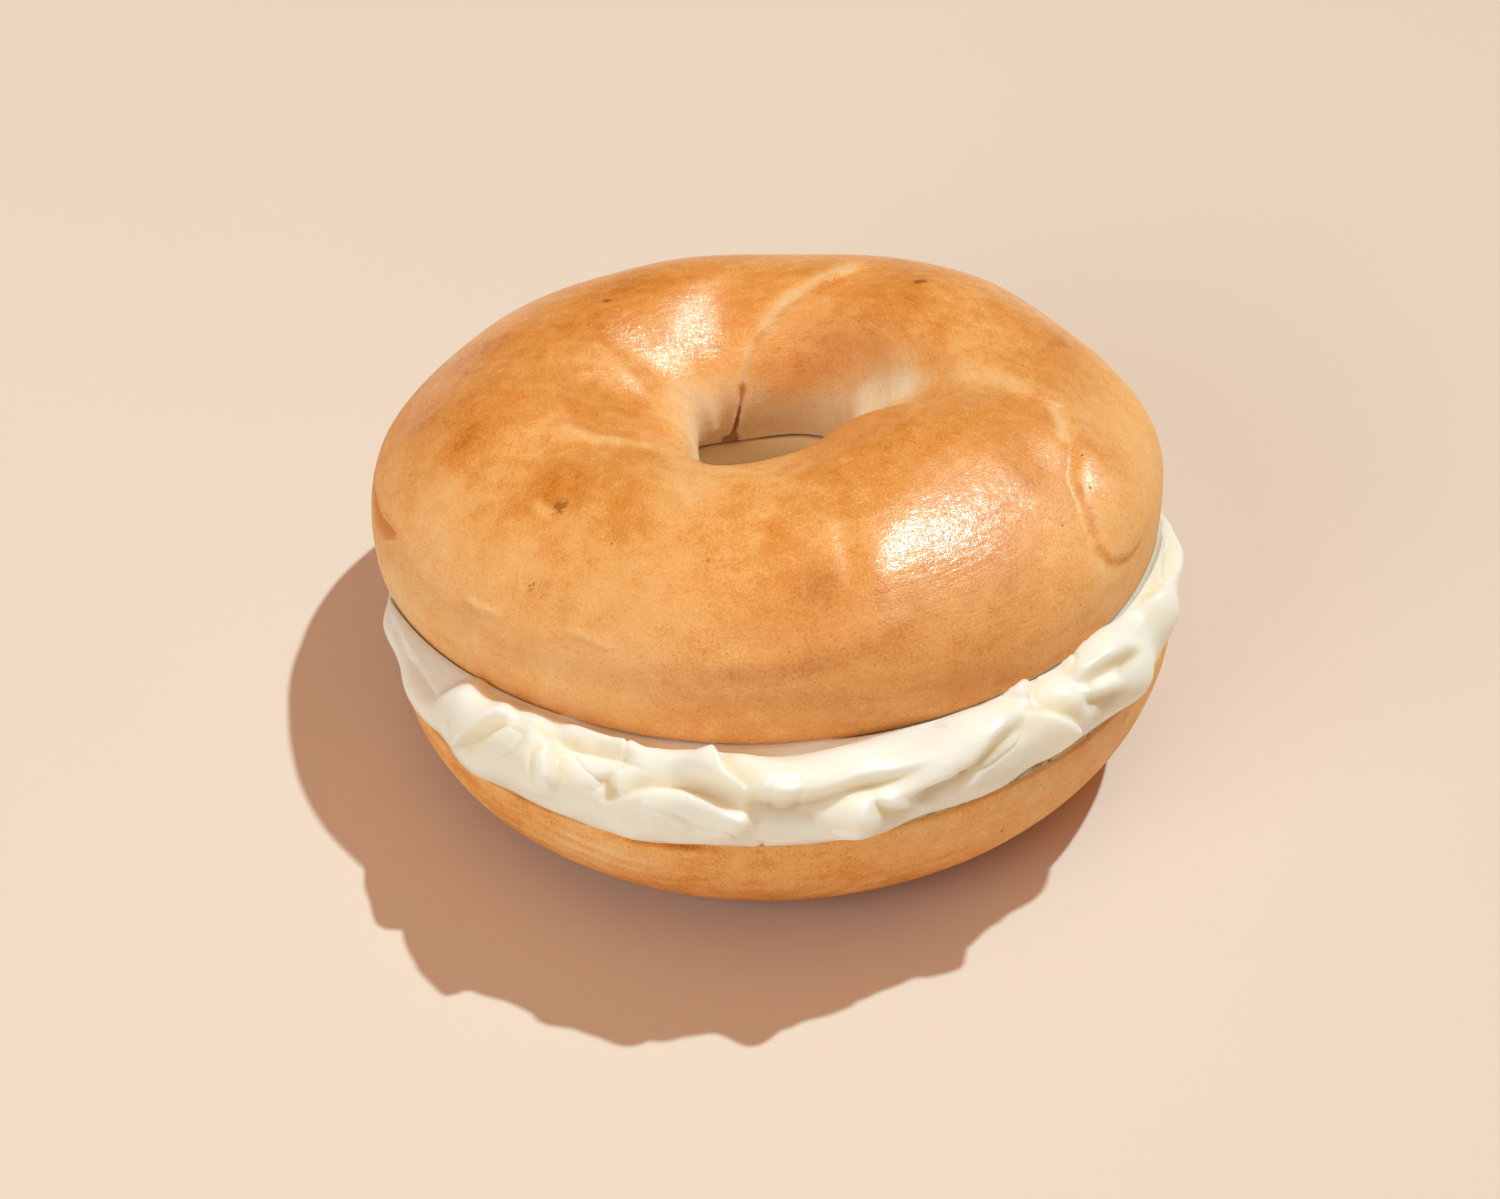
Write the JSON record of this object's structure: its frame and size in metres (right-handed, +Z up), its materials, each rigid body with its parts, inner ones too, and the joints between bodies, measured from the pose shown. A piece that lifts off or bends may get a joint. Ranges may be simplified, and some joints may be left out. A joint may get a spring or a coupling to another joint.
{
  "type": "filled bagel",
  "caption": "Plain glazed bagel cut across and filled with cream cheese that squeezes out in a soft bead, with an open hole through the middle.",
  "frame": {"origin": "on the floor under the middle of the whole", "axes": "+Z up; -Y towards the side where the filling shows most, +X to the right seen from there"},
  "size_m": [0.1036, 0.1102, 0.0474],
  "materials": {
    "lower_crust": "baked crust, dull, pale at the side and browner underneath",
    "cream": "moist smooth cream cheese",
    "upper_crust": "baked crust, golden brown, softly glazed on top"
  },
  "bodies": {
    "root": {"bottom_half": "lower_crust", "cream_cheese": "cream", "top_half": "upper_crust"}
  },
  "joints": []
}
